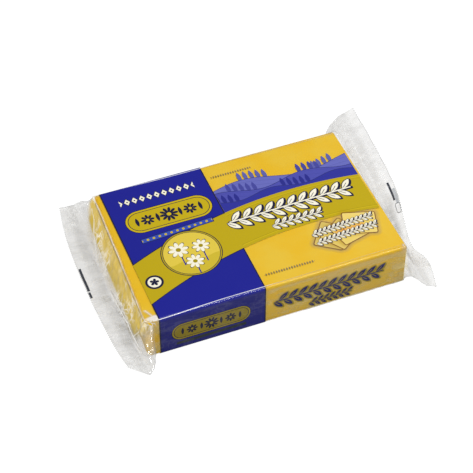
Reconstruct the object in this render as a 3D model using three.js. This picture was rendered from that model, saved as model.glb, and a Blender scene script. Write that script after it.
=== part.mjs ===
// A flow-wrapped block of cheese: a flat block in a sealed film pack, as one closed solid.
// The film lies on the block, leaves it at both ends in a gusset, and ends in a flat sealed fin.
// Millimetres. +X runs along the pack, +Y to the back, +Z up; the pack rests on z = 0.
import * as THREE from "three";

// Driving dimensions of the wrapped block.
const BLOCK_LENGTH = 147;
const BLOCK_WIDTH = 101;
const BLOCK_HEIGHT = 28;
const EDGE_RADIUS = 1.3;

// The film is a tube of constant girth: pressed flat, it is as wide as the block's width and
// height together, which the fins' tables below follow.
const FIN_THICKNESS = 1.2;
// The film comes off the sides of the block this far before the block ends.
const SIDE_LEAD = 7;
// How steeply the film falls away beyond the block: in its middle, and along the corner folds.
const MIDDLE_FALL = 1.6;
const CORNER_FALL = 1.05;
// The block's left end is cut askew: it reaches further out towards the front, up to a rounded
// front corner. The top and the sides follow it over this length.
const SKEW_REACH = 4.1;
const SKEW_POWER = 1.2;
const SKEW_CORNER = 4;
const SKEW_LEAD = 3.2;

// Sealed fins, from the front corner to the back corner at even shares of the flat width.
// Each row is [distance beyond the block, y, height of the fin's middle]. Slack is the share of
// a side fold's full swing that it has reached where the block ends, and bulge how early it swings.
// Skew is 1 at the end that is cut askew and 0 at the square one.
const LEFT_FIN = {
  side: -1,
  skew: 1,
  slack: { front: 0, back: 0.5 },
  bulge: { front: 0.5, back: 1 },
  root: [
    [7.5, -64.3, 3.0],
    [10.0, -32.0, 6.5],
    [10.5, 0, 7.5],
    [10.5, 32.0, 8.0],
    [9.0, 64.3, 10.5],
  ],
  edge: [
    [16.5, -56.0, 3.4],
    [18.6, -45.5, 4.8],
    [20.2, -31.5, 6.6],
    [21.1, -16.0, 7.8],
    [21.4, 0, 8.0],
    [21.2, 16.2, 8.2],
    [20.6, 32.5, 8.6],
    [19.2, 49.0, 9.6],
    [16.8, 64.3, 11.2],
  ],
};
const RIGHT_FIN = {
  side: 1,
  skew: 0,
  slack: { front: 0.1, back: 0.5 },
  bulge: { front: 0.9, back: 1.1 },
  root: [
    [8.5, -61.0, 4.0],
    [9.0, -31.0, 6.0],
    [10.0, 0, 12.0],
    [10.5, 32.0, 18.0],
    [9.5, 64.3, 24.0],
  ],
  edge: [
    [13.4, -64.0, 4.0],
    [15.0, -50.0, 9.6],
    [13.0, -33.0, 6.8],
    [15.6, -16.5, 11.2],
    [19.2, 0, 15.4],
    [20.8, 16.2, 17.4],
    [20.4, 32.5, 21.6],
    [19.6, 48.5, 25.6],
    [19.0, 64.0, 28.4],
  ],
};

// Mesh density.
const PANEL_STEPS = 20;
const CORNER_STEPS = 3;
const SIDE_STEPS = 4;
const LEAD_STEPS = 4;
const GUSSET_STEPS = 8;
const FIN_STEPS = 5;

const mix = (from, to, share) => from + (to - from) * share;
const clamp01 = (value) => Math.min(Math.max(value, 0), 1);

/** Smooth curve through rows of three numbers, read at -1 (front) to 1 (back). */
function curveThrough(rows) {
  const points = rows.map((row) => new THREE.Vector3(...row));
  const curve = new THREE.CatmullRomCurve3(points, false, "catmullrom", 0.5);
  return (across) => curve.getPoint((across + 1) / 2);
}

/**
 * One quarter of the wrapped block's section, from the middle of the top panel to the middle of
 * a side: y and z measured from the block's centre line, and the share of the girth passed.
 */
function quarterSection() {
  const panel = BLOCK_WIDTH / 2 - EDGE_RADIUS;
  const arc = (Math.PI / 2) * EDGE_RADIUS;
  const side = BLOCK_HEIGHT / 2 - EDGE_RADIUS;
  const girth = panel + arc + side;
  const points = [];
  for (let i = 0; i < PANEL_STEPS; i += 1) {
    const y = (panel * i) / PANEL_STEPS;
    points.push({ y, z: BLOCK_HEIGHT / 2, share: y / girth });
  }
  for (let i = 0; i < CORNER_STEPS; i += 1) {
    const angle = ((Math.PI / 2) * i) / CORNER_STEPS;
    points.push({
      y: panel + EDGE_RADIUS * Math.sin(angle),
      z: side + EDGE_RADIUS * Math.cos(angle),
      share: (panel + EDGE_RADIUS * angle) / girth,
    });
  }
  for (let i = 0; i <= SIDE_STEPS; i += 1) {
    const z = side * (1 - i / SIDE_STEPS);
    points.push({ y: BLOCK_WIDTH / 2, z, share: (panel + arc + side - z) / girth });
  }
  return points;
}

/** The whole section as a ring, from the back fold over the top to the front and back below. */
function ringSection() {
  const quarter = quarterSection();
  const backToMiddle = [...quarter].reverse();
  const middleToFront = quarter.slice(1).map((p) => ({ y: -p.y, z: p.z, share: -p.share }));
  const top = [...backToMiddle, ...middleToFront];
  const bottom = top.slice(1, -1).reverse().map((p) => ({ ...p, z: -p.z }));
  return [...top, ...bottom];
}

/** How far the section is pressed flat: 0 at the block's end, 1 at the fin's root. */
function flattening(along, across) {
  const cornerShare = THREE.MathUtils.smoothstep(Math.abs(across), 0.6, 0.85);
  return 1 - (1 - along) ** mix(MIDDLE_FALL, CORNER_FALL, cornerShare);
}

/** How far a side fold has swung outwards: at a bulge of 1, as a film of constant girth does. */
function spreading(along, bulge) {
  const height = (1 - along) ** MIDDLE_FALL;
  return (1 - height ** 2) ** (0.5 / bulge);
}

/** The front or the back one of a pair of values, whichever a point of the section is nearer. */
function nearerOf(pair, across) {
  return across > 0 ? pair.back : pair.front;
}

/** How much further out than the block's length the block's end reaches at a depth y. */
function skewAt(fin, y) {
  const share = clamp01(0.5 - y / BLOCK_WIDTH);
  const round = clamp01((-y - BLOCK_WIDTH / 2 + SKEW_CORNER) / SKEW_CORNER);
  const corner = SKEW_CORNER * (1 - Math.sqrt(1 - round ** 2));
  return fin.skew * Math.max(SKEW_REACH * share ** SKEW_POWER - corner, 0);
}

/** A ring of points on the block, where the film has begun to come off its sides. */
function bodyRing(section, fin, before) {
  const lead = clamp01(1 - before / SIDE_LEAD) ** 2;
  const skewed = clamp01(1 - before / SKEW_LEAD) ** 2;
  return section.map((p) => {
    const x = fin.side * (BLOCK_LENGTH / 2 - before + skewed * skewAt(fin, p.y));
    const y = mix(p.y, fin.rootAt(p.share).y, lead * nearerOf(fin.slack, p.share));
    return new THREE.Vector3(x, y, p.z + BLOCK_HEIGHT / 2);
  });
}

/** A ring of points in the gusset, between the block's end (0) and the fin's root (1). */
function gussetRing(section, fin, along) {
  return section.map((p) => {
    const root = fin.rootAt(p.share);
    const pressed = flattening(along, p.share);
    const swing = spreading(along, nearerOf(fin.bulge, p.share));
    const spread = mix(nearerOf(fin.slack, p.share), 1, swing);
    const flatZ = root.z + Math.sign(p.z) * (FIN_THICKNESS / 2);
    return new THREE.Vector3(
      fin.side * (BLOCK_LENGTH / 2 + mix(skewAt(fin, p.y), root.x, along)),
      mix(p.y, root.y, spread),
      mix(p.z + BLOCK_HEIGHT / 2, flatZ, pressed),
    );
  });
}

/** A ring of points in the fin, between its root (0) and its outer edge (1). */
function finRing(section, fin, along) {
  return section.map((p) => {
    const middle = fin.rootAt(p.share).lerp(fin.edgeAt(p.share), along);
    const x = fin.side * (BLOCK_LENGTH / 2 + middle.x);
    return new THREE.Vector3(x, middle.y, middle.z + Math.sign(p.z) * (FIN_THICKNESS / 2));
  });
}

/** The rings of one end, from the block outwards. */
function endRings(section, fin) {
  const rings = [];
  for (let i = 0; i <= LEAD_STEPS; i += 1) {
    rings.push(bodyRing(section, fin, SIDE_LEAD * (1 - i / LEAD_STEPS)));
  }
  for (let i = 1; i < GUSSET_STEPS; i += 1) {
    rings.push(gussetRing(section, fin, i / GUSSET_STEPS));
  }
  for (let i = 0; i <= FIN_STEPS; i += 1) {
    rings.push(finRing(section, fin, i / FIN_STEPS));
  }
  return rings;
}

/** Closes a fin's outer edge: joins each point of the top sheet to the one right below it. */
function edgeFaces(first, count, outwards) {
  const faces = [];
  const half = count / 2;
  for (let i = 0; i < half; i += 1) {
    const topA = first + i;
    const topB = first + i + 1;
    const lowA = first + ((count - i) % count);
    const lowB = first + (count - i - 1);
    const quad = [topA, topB, lowB, lowA];
    const corners = [...new Set(quad)];
    for (let k = 2; k < corners.length; k += 1) {
      const face = [corners[0], corners[k - 1], corners[k]];
      faces.push(...(outwards ? face : face.reverse()));
    }
  }
  return faces;
}

/** One closed mesh through a row of rings with equal numbers of points. */
function loftThrough(rings) {
  const count = rings[0].length;
  const positions = rings.flat().flatMap((p) => [p.x, p.y, p.z]);
  const faces = [];
  for (let r = 0; r + 1 < rings.length; r += 1) {
    for (let i = 0; i < count; i += 1) {
      const a = r * count + i;
      const b = r * count + ((i + 1) % count);
      faces.push(a, b, b + count, a, b + count, a + count);
    }
  }
  faces.push(...edgeFaces(0, count, false));
  faces.push(...edgeFaces((rings.length - 1) * count, count, true));
  const geometry = new THREE.BufferGeometry();
  geometry.setAttribute("position", new THREE.Float32BufferAttribute(positions, 3));
  geometry.setIndex(faces);
  geometry.computeVertexNormals();
  return geometry;
}

/** The sealed pack with the block in it. */
function sealedPack() {
  const section = ringSection();
  const ends = [LEFT_FIN, RIGHT_FIN].map((fin) => ({
    ...fin,
    rootAt: curveThrough(fin.root),
    edgeAt: curveThrough(fin.edge),
  }));
  const left = endRings(section, ends[0]).reverse();
  const right = endRings(section, ends[1]);
  const film = new THREE.MeshStandardMaterial({ color: 0xe9c64a, roughness: 0.3 });
  const pack = new THREE.Mesh(loftThrough([...left, ...right]), film);
  pack.name = "sealed_pack";
  return pack;
}

const part = new THREE.Group();
part.name = "wrapped_cheese_block";
part.add(sealedPack());

export default part;
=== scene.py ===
"""A block of yellow cheese in a sealed, printed flow-wrap film, on a pale studio floor."""

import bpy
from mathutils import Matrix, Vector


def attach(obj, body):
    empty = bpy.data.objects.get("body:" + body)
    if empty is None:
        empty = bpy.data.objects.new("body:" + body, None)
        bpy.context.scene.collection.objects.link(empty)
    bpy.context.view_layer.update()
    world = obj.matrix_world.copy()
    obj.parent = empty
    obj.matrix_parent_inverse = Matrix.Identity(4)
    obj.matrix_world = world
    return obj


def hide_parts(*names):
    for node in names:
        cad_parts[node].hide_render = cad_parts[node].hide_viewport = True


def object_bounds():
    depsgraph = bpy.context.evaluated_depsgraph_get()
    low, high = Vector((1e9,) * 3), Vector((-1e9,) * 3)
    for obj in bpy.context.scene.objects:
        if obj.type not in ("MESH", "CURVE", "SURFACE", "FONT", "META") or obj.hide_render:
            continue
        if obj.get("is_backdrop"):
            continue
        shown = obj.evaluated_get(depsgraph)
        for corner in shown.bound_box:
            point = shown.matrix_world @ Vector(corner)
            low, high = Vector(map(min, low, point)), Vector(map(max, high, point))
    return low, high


bl_info = {
    "name": "Wrapped cheese block",
    "version": (1, 0, 0),
    "blender": (4, 5, 0),
    "location": "View3D > Sidebar > Cheese pack",
    "description": "Builds a cheese block and its printed film around the loaded CAD frame",
    "category": "Add Mesh",
}

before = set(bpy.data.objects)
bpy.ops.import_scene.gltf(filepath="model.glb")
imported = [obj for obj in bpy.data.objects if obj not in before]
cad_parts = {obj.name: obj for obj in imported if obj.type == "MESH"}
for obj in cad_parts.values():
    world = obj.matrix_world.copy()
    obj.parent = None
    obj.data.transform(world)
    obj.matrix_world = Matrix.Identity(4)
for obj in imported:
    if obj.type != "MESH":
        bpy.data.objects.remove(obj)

import math

import bmesh
import bpy
from mathutils import Matrix, Vector, noise

CAD_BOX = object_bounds()
MM = 0.001

# The sealed ends, as the CAD has them, in millimetres. Each row is [distance beyond the block,
# y, height of the fin's middle], from the front corner to the back corner.
LEFT_END = {
    "side": -1,
    "skew": 1,
    "slack": {"front": 0.0, "back": 0.5},
    "bulge": {"front": 0.5, "back": 1.0},
    "root": [
        [7.5, -64.3, 3.0], [10.0, -32.0, 6.5], [10.5, 0.0, 7.5], [10.5, 32.0, 8.0],
        [9.0, 64.3, 10.5],
    ],
    "edge": [
        [16.5, -56.0, 3.4], [18.6, -45.5, 4.8], [20.2, -31.5, 6.6], [21.1, -16.0, 7.8],
        [21.4, 0.0, 8.0], [21.2, 16.2, 8.2], [20.6, 32.5, 8.6], [19.2, 49.0, 9.6],
        [16.8, 64.3, 11.2],
    ],
}
RIGHT_END = {
    "side": 1,
    "skew": 0,
    "slack": {"front": 0.1, "back": 0.5},
    "bulge": {"front": 0.9, "back": 1.1},
    "root": [
        [8.5, -61.0, 4.0], [9.0, -31.0, 6.0], [10.0, 0.0, 12.0], [10.5, 32.0, 18.0],
        [9.5, 64.3, 24.0],
    ],
    "edge": [
        [13.4, -64.0, 4.0], [15.0, -50.0, 9.6], [13.0, -33.0, 6.8], [15.6, -16.5, 11.2],
        [19.2, 0.0, 15.4], [20.8, 16.2, 17.4], [20.4, 32.5, 21.6], [19.6, 48.5, 25.6],
        [19.0, 64.0, 28.4],
    ],
}
SIDE_LEAD = 7.0
MIDDLE_FALL = 1.6
CORNER_FALL = 1.05
# The left end is cut askew: how far it reaches out at the front, and its rounded front corner.
SKEW_REACH = 4.1
SKEW_POWER = 1.2
SKEW_CORNER = 4.0
SKEW_LEAD = 3.2

# Mesh density of the film, in rings along the pack and columns round it.
FIN_RINGS = 18
GUSSET_RINGS = 26
LEAD_RINGS = 8
BODY_RINGS = 44
PANEL_COLUMNS = 70
CORNER_COLUMNS = 6
SIDE_COLUMNS = 17
# Cuts through the cheese for its skewed end to bend at: how many from front to back, and how far
# in from the left end the others are, in millimetres. Up to the first of them the skew is full.
CHEESE_SLICES = 50
SKEW_CUTS = (1.6, 2.4, 3.2, 4.0, 4.8)
# How much further right than the film's panel the cheese reaches, in millimetres.
CHEESE_REACH = 0.6
# Segments of the bevels on the cheese's upright and level edges.
UPRIGHT_SEGMENTS = 5
RIM_SEGMENTS = 4

# The unrolled film, in millimetres: half the length of its panel, its length in a gusset and in a
# fin, half its width pressed flat, half the width of the panel on top, and the seam's place.
PANEL_HALF = 73.5
GUSSET_FLAT = 22.0
FIN_FLAT = 11.0
FLAT_HALF_WIDTH = 64.5
TOP_EDGE = 50.5
SEAM_PLACE = 2 * FLAT_HALF_WIDTH
# Depth of the teeth on a fin's edge, and a height so small that it counts as none.
TOOTH_DEPTH = 0.35
FLAT_ENOUGH = 1e-6

# Shares of the half girth between which the film's corners and its side faces begin.
CORNER_SHARES = (0.6, 0.85)
SIDE_SHARES = (0.78, 0.84)
# How far the wrinkles reach along the sides, and where they are full beyond the block's end.
SIDE_WRINKLE_REACH = 45
WRINKLE_START = 7
# Heights of the wrinkles, in millimetres: those on the sides, and the broad, fine and gathered
# ones in the gussets and on the fins.
SIDE_LIFT = 0.22
GUSSET_LIFTS = (0.65, 0.38, 0.3)
FIN_LIFTS = (0.5, 0.28, 0.2)
# A fin's slow wave, its creases' height in the gusset, and what is left of the wrinkles at its
# pressed outer edge.
WAVE_LIFT = 0.5
CREASE_LIFT = 0.6
FIN_CALM = 0.35

# Creases of the upper sheet on the unrolled film: [along, across, along, across, lift, width]. They
# lift the film, and their lines are painted white as highlights.
CREASES = (
    (-93.7, -6.0, -90.4, -31.0, 1.0, 1.2),
    (-90.4, -31.0, -91.6, -47.0, 1.0, 1.1),
    (-90.4, -9.0, -88.0, -34.0, 0.5, 0.9),
    (-95.0, -36.0, -94.2, -50.0, 0.9, 1.1),
    (-74.5, -50.5, -86.0, -53.5, 0.9, 1.5),
    (-76.0, -46.0, -90.0, -40.0, 0.5, 1.2),
    (-79.0, 46.0, -92.0, 20.0, 0.6, 1.5),
    (77.0, 46.0, 86.0, 27.0, 0.8, 1.3),
    (76.5, -52.0, 88.0, -56.0, 0.5, 1.6),
    (80.0, 20.0, 93.0, -6.0, 0.6, 1.2),
    (82.0, -8.0, 94.0, -24.0, 0.6, 1.1),
    (78.0, -20.0, 90.0, -40.0, 0.5, 1.2),
    (76.0, -36.0, 88.0, -50.0, 0.5, 1.0),
    (-71.5, -48.4, -72.8, -41.8, 0.9, 1.3),
    (-71.5, -48.4, -63.5, -49.4, 1.0, 1.3),
    (-71.5, -48.4, -75.8, -52.4, 1.0, 1.8),
    (-71.5, -48.4, -76.0, -46.4, 0.8, 1.2),
)
# Where the four short creases meet, and where a glint is painted white as a highlight: [along,
# across].
GLINT = (-71.5, -48.4)

# Painted shade in hollows beside the creases: [along, across, half length along, half length across].
HOLLOWS = (
    (92.0, -15.0, 8.0, 10.0),
    (-91.5, -28.0, 3.0, 11.0),
    (-88.0, -44.0, 3.0, 3.0),
)
HOLLOW_SOFTNESS = 6.0

# Lines of painted shade between the white ones, laid out as the creases are.
SHADE_LINES = (
    (-92.0, -5.0, -89.0, -32.0, 1.0, 1.9),
    (-89.0, -32.0, -90.0, -46.0, 0.8, 1.6),
    (86.0, -6.0, 101.0, -14.0, 0.6, 1.6),
    (84.0, -14.0, 101.0, -24.0, 0.6, 1.6),
)


class CheesePackSizes(bpy.types.PropertyGroup):
    """Sizes of the pack that a user may change."""

    block_length: bpy.props.FloatProperty(
        name="Block length", description="Length of the wrapped block", default=0.147, unit="LENGTH"
    )
    block_width: bpy.props.FloatProperty(
        name="Block width", description="Depth of the wrapped block", default=0.101, unit="LENGTH"
    )
    block_height: bpy.props.FloatProperty(
        name="Block height", description="Height of the wrapped block", default=0.028, unit="LENGTH"
    )
    edge_radius: bpy.props.FloatProperty(
        name="Edge radius", description="Radius of the block's long edges", default=0.0013,
        unit="LENGTH",
    )
    corner_radius: bpy.props.FloatProperty(
        name="Corner radius", description="Radius of the cheese's upright edges", default=0.0012,
        unit="LENGTH",
    )
    film_gap: bpy.props.FloatProperty(
        name="Film gap", description="Space between the cheese and the film", default=0.0003,
        unit="LENGTH",
    )
    fin_thickness: bpy.props.FloatProperty(
        name="Fin thickness", description="Thickness of the sealed fins", default=0.0005,
        unit="LENGTH",
    )


# What all of the colours' properties share.
COLOUR = {"subtype": "COLOR", "size": 3, "min": 0, "max": 1}


class CheesePackColours(bpy.types.PropertyGroup):
    """Colours of the cheese, the film and its inks, as linear values."""

    cheese: bpy.props.FloatVectorProperty(
        name="Cheese", description="Body of the cheese", default=(0.78, 0.468, 0.006), **COLOUR
    )
    film: bpy.props.FloatVectorProperty(
        name="Film", description="Haze of the clear film", default=(0.42, 0.41, 0.385), **COLOUR
    )
    blue: bpy.props.FloatVectorProperty(
        name="Blue ink", description="Main panel", default=(0.009, 0.012, 0.265), **COLOUR
    )
    olive: bpy.props.FloatVectorProperty(
        name="Olive ink", description="Curved band", default=(0.49, 0.365, 0.004), **COLOUR
    )
    navy: bpy.props.FloatVectorProperty(
        name="Navy ink", description="Outlines and shadows", default=(0.008, 0.009, 0.04), **COLOUR
    )
    cream: bpy.props.FloatVectorProperty(
        name="Cream ink", description="Light motifs", default=(0.90, 0.86, 0.70), **COLOUR
    )


def mix(start, end, share):
    """The value at a share of the way from start to end."""
    return start + (end - start) * share


def clamp01(value):
    """The value, held between 0 and 1."""
    return min(max(value, 0.0), 1.0)


def smoothstep(value, low, high):
    """A smooth rise from 0 at low to 1 at high."""
    share = clamp01((value - low) / (high - low))
    return share * share * (3 - 2 * share)


def nearer(share):
    """The name of the side fold that a share of the girth is nearer to."""
    return "back" if share > 0 else "front"


def curve_through(rows, across):
    """The point at -1 (front) to 1 (back) of an even Catmull-Rom curve through the rows."""
    points = [Vector(row) for row in rows]
    points = [2 * points[0] - points[1], *points, 2 * points[-1] - points[-2]]
    place = clamp01((across + 1) / 2) * (len(rows) - 1)
    first = min(int(place), len(rows) - 2)
    step = place - first
    before, start, end, after = points[first:first + 4]
    leave = (end - before) / 2
    arrive = (after - start) / 2
    return (
        start
        + leave * step
        + (3 * (end - start) - 2 * leave - arrive) * step ** 2
        + (2 * (start - end) + leave + arrive) * step ** 3
    )


def quarter_section(width, height, radius):
    """Rows of (y, z, share of the girth) from the middle of the top to the middle of a side."""
    panel = width / 2 - radius
    arc = math.pi / 2 * radius
    side = height / 2 - radius
    girth = panel + arc + side
    rows = []
    for i in range(PANEL_COLUMNS):
        y = panel * i / PANEL_COLUMNS
        rows.append((y, height / 2, y / girth))
    for i in range(CORNER_COLUMNS):
        angle = math.pi / 2 * i / CORNER_COLUMNS
        y = panel + radius * math.sin(angle)
        z = side + radius * math.cos(angle)
        rows.append((y, z, (panel + radius * angle) / girth))
    for i in range(SIDE_COLUMNS + 1):
        z = side * (1 - i / SIDE_COLUMNS)
        rows.append((width / 2, z, (panel + arc + side - z) / girth))
    return rows, girth


def film_columns(width, height, radius):
    """The section's columns, from the bottom's middle over the front, top and back to it again.

    Each is (y, z, share, sheet, flat): the share of the half girth at which the fins' curves are
    read, 1 for the top sheet and -1 for the bottom one, and the place on the unrolled film."""
    quarter, girth = quarter_section(width, height, radius)
    bottom_front = [(-y, -z, -s, -1, -(2 - s) * girth) for y, z, s in quarter[:-1]]
    top_front = [(-y, z, -s, 1, -s * girth) for y, z, s in reversed(quarter)]
    top_back = [(y, z, s, 1, s * girth) for y, z, s in quarter[1:]]
    bottom_back = [(y, -z, s, -1, (2 - s) * girth) for y, z, s in reversed(quarter[:-1])]
    return bottom_front + top_front + top_back + bottom_back


def film_rings(length):
    """The film's rings from left to right, each (kind, side, place, place on the unrolled film)."""
    half = length / 2
    left = []
    for i in range(FIN_RINGS + 1):
        along = 1 - i / FIN_RINGS
        left.append(("fin", -1, along, -(half + GUSSET_FLAT + FIN_FLAT * along)))
    for i in range(1, GUSSET_RINGS):
        along = 1 - i / GUSSET_RINGS
        left.append(("gusset", -1, along, -(half + GUSSET_FLAT * along)))
    for i in range(LEAD_RINGS):
        before = SIDE_LEAD * i / LEAD_RINGS
        left.append(("body", -1, before, -(half - before)))
    right = []
    for kind, _, place, flat in reversed(left):
        right.append((kind, 1, place, -flat))
    middle = []
    reach = half - SIDE_LEAD
    for i in range(BODY_RINGS + 1):
        x = mix(-reach, reach, i / BODY_RINGS)
        middle.append(("body", -1 if x < 0 else 1, half - abs(x), x))
    return left + middle + right


def skew_at(y, half_width):
    """How much further out the left end of the block reaches at a depth y, in millimetres."""
    share = clamp01(0.5 - y / half_width / 2)
    turn = clamp01((-y - half_width + SKEW_CORNER) / SKEW_CORNER)
    corner = SKEW_CORNER * (1 - math.sqrt(1 - turn ** 2))
    return max(SKEW_REACH * share ** SKEW_POWER - corner, 0.0)


class EndShape:
    """One sealed end: its table, with both of its curves read at every column of the film."""

    def __init__(self, table, columns):
        self.side = table["side"]
        self.slack = table["slack"]
        self.bulge = table["bulge"]
        self.roots = [curve_through(table["root"], column[2]) for column in columns]
        self.edges = [curve_through(table["edge"], column[2]) for column in columns]
        widest = max(column[0] for column in columns)
        self.skews = [table["skew"] * skew_at(column[0], widest) for column in columns]

    def body_point(self, column, j, before, half, height):
        """A point on the block, where the film may have begun to come off its sides."""
        y, z, share, _, _ = column
        skewed = clamp01(1 - before / SKEW_LEAD) ** 2
        x = self.side * (half - before + skewed * self.skews[j])
        if before < SIDE_LEAD:
            lead = (1 - before / SIDE_LEAD) ** 2
            y = mix(y, self.roots[j].y, lead * self.slack[nearer(share)])
        return Vector((x, y, z + height / 2))

    def gusset_point(self, column, j, along, half, height, thickness):
        """A point between the block's end (0) and the fin's root (1)."""
        y, z, share, sheet, _ = column
        root = self.roots[j]
        fold = 0 if abs(z) < FLAT_ENOUGH else sheet
        corner = smoothstep(abs(share), *CORNER_SHARES)
        pressed = 1 - (1 - along) ** mix(MIDDLE_FALL, CORNER_FALL, corner)
        swing = (1 - (1 - along) ** (2 * MIDDLE_FALL)) ** (0.5 / self.bulge[nearer(share)])
        spread = mix(self.slack[nearer(share)], 1, swing)
        return Vector((
            self.side * (half + mix(self.skews[j], root.x, along)),
            mix(y, root.y, spread),
            mix(z + height / 2, root.z + fold * thickness / 2, pressed),
        ))

    def fin_point(self, column, j, along, half, thickness):
        """A point between the fin's root (0) and its toothed outer edge (1)."""
        _, z, _, sheet, _ = column
        fold = 0 if abs(z) < FLAT_ENOUGH else sheet
        middle = self.roots[j].lerp(self.edges[j], along)
        tooth = TOOTH_DEPTH * (1 - 2 * (j % 2)) if along == 1 else 0
        x = self.side * (half + middle.x + tooth)
        return Vector((x, middle.y, middle.z + fold * thickness / 2 * (1 - along ** 4)))


def segment_gap(x, y, line):
    """The distance of a point from a line between two points."""
    x0, y0, x1, y1 = line
    run_x, run_y = x1 - x0, y1 - y0
    share = clamp01(((x - x0) * run_x + (y - y0) * run_y) / (run_x ** 2 + run_y ** 2))
    return math.hypot(x - x0 - share * run_x, y - y0 - share * run_y)


def film_wrinkle(ring, column):
    """How far the wrinkles lift one point of the film, in millimetres, and how upright the lift is."""
    kind, side, place, flat_x = ring
    _, _, share, sheet, flat_y = column
    seed = 7.0 * side
    if kind == "body":
        side_face = smoothstep(abs(share), *SIDE_SHARES)
        near_end = 1 - smoothstep(place, 0, SIDE_WRINKLE_REACH)
        streak = noise.noise(Vector((flat_x * 0.05 + seed, flat_y * 0.22, sheet * 3.0)))
        return SIDE_LIFT * side_face * near_end * streak, 0.0
    beyond = place * GUSSET_FLAT if kind == "gusset" else GUSSET_FLAT + place * FIN_FLAT
    apart = sheet * 5.0 * (1 - place) if kind == "gusset" else 0.0
    grow = smoothstep(beyond, 0, WRINKLE_START)
    across = share * FLAT_HALF_WIDTH
    wrinkles = (
        noise.noise(Vector((beyond * 0.16 + seed, across * 0.035, apart))),
        noise.noise(Vector((beyond * 0.33 + seed, across * 0.16, apart + 9.0))),
        noise.noise(Vector((beyond * 0.07 + seed, across * 0.42, apart + 15.0))),
    )
    wave = noise.noise(Vector((beyond * 0.05 + seed, across * 0.11, 20.0)))
    folds = 0.0
    if sheet > 0:
        for line in CREASES:
            if line[0] * side > 0:
                gap = segment_gap(flat_x, across, line[:4]) / line[5]
                folds += line[4] * max(0.0, 1 - gap) ** 1.5
    heights = FIN_LIFTS if kind == "fin" else GUSSET_LIFTS
    lift = sum(height * wrinkle for height, wrinkle in zip(heights, wrinkles))
    if kind == "fin":
        calm = mix(1, FIN_CALM, place)
        return lift * calm + WAVE_LIFT * wave * place + folds * (1 - place), 1.0
    return grow * lift + CREASE_LIFT * folds, smoothstep(place, 0.4, 1)


def new_object(name, bm, material):
    """A new object with the mesh and its material, smooth all over, in the scene."""
    mesh = bpy.data.meshes.new(name)
    bm.to_mesh(mesh)
    bm.free()
    for polygon in mesh.polygons:
        polygon.use_smooth = True
    mesh.materials.append(material)
    piece = bpy.data.objects.new(name, mesh)
    bpy.context.scene.collection.objects.link(piece)
    return piece


def film_mesh(sizes):
    """The film as one sheet, wrapped round the block and pressed flat at its ends."""
    length = sizes.block_length / MM
    width = sizes.block_width / MM
    height = sizes.block_height / MM
    thickness = sizes.fin_thickness / MM
    rings = film_rings(length)
    columns = film_columns(width, height, sizes.edge_radius / MM)
    ends = {table["side"]: EndShape(table, columns) for table in (LEFT_END, RIGHT_END)}
    bm = bmesh.new()
    bmesh.ops.create_grid(bm, x_segments=len(rings) - 1, y_segments=len(columns) - 1, size=1)
    flat = bm.loops.layers.uv.new("flat")
    places = {}
    for vert in bm.verts:
        i = round((vert.co.x + 1) / 2 * (len(rings) - 1))
        j = round((vert.co.y + 1) / 2 * (len(columns) - 1))
        places[vert] = (rings[i], columns[j])
        kind, side, place, _ = rings[i]
        end = ends[side]
        if kind == "body":
            vert.co = end.body_point(columns[j], j, place, length / 2, height)
        elif kind == "gusset":
            vert.co = end.gusset_point(columns[j], j, place, length / 2, height, thickness)
        else:
            vert.co = end.fin_point(columns[j], j, place, length / 2, thickness)
    for face in bm.faces:
        for loop in face.loops:
            ring, column = places[loop.vert]
            loop[flat].uv = (ring[3] * MM, column[4] * MM)
    bmesh.ops.recalc_face_normals(bm, faces=bm.faces)
    bm.normal_update()
    for vert, (ring, column) in places.items():
        lift, upright = film_wrinkle(ring, column)
        direction = vert.normal.lerp(Vector((0, 0, 1)), upright)
        vert.co += direction * lift
    bmesh.ops.remove_doubles(bm, verts=bm.verts, dist=0.001)
    bmesh.ops.recalc_face_normals(bm, faces=bm.faces)
    bmesh.ops.scale(bm, vec=(MM, MM, MM), verts=bm.verts)
    return bm


def math_method(operation):
    """A method of Field that adds a Math node of one kind."""
    return lambda field, *terms: field.math(operation, *terms)


class Field:
    """A number that varies over a surface: a socket, with arithmetic that adds Math nodes."""

    def __init__(self, tree, socket):
        self.tree = tree
        self.socket = socket

    def math(self, operation, *terms):
        """A Math node of this field and the terms, which are fields or plain numbers."""
        node = self.tree.nodes.new("ShaderNodeMath")
        node.operation = operation
        plug_in(node, (self, *terms))
        return Field(self.tree, node.outputs[0])

    __add__ = math_method("ADD")
    __sub__ = math_method("SUBTRACT")
    __mul__ = math_method("MULTIPLY")
    __truediv__ = math_method("DIVIDE")
    __abs__ = math_method("ABSOLUTE")
    least = math_method("MINIMUM")
    most = math_method("MAXIMUM")
    sine = math_method("SINE")
    cosine = math_method("COSINE")
    power = math_method("POWER")

    def __neg__(self):
        return self * -1

    def line(self, factor, addend):
        """The field times a factor, plus an addend, held between 0 and 1.

        Cycles keeps too many values at once if a Math node clamps its own result, so the limits
        are a node of their own, made right after it."""
        scaled = self.math("MULTIPLY_ADD", factor, addend)
        node = self.tree.nodes.new("ShaderNodeClamp")
        self.tree.links.new(scaled.socket, node.inputs["Value"])
        return Field(self.tree, node.outputs["Result"])

    def cell(self, pitch):
        """The distance from the middle of the nearest of evenly spaced cells."""
        return self.math("WRAP", pitch / 2, pitch / -2)

    def rise(self, low, high):
        """A smooth rise from 0 at low to 1 at high, which keeps within 0 and 1 unclamped."""
        node = self.tree.nodes.new("ShaderNodeMapRange")
        node.interpolation_type = "SMOOTHSTEP"
        node.clamp = False
        self.tree.links.new(self.socket, node.inputs["Value"])
        node.inputs["From Min"].default_value = low
        node.inputs["From Max"].default_value = high
        return Field(self.tree, node.outputs["Result"])


def plug_in(node, terms):
    """Puts fields or plain numbers into a node's sockets, in their order."""
    for socket, term in zip(node.inputs, terms):
        if isinstance(term, Field):
            node.id_data.links.new(term.socket, socket)
        else:
            socket.default_value = term


# Width of the soft rim of an ink or an outline, in millimetres.
INK_SOFTNESS = 0.14


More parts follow.
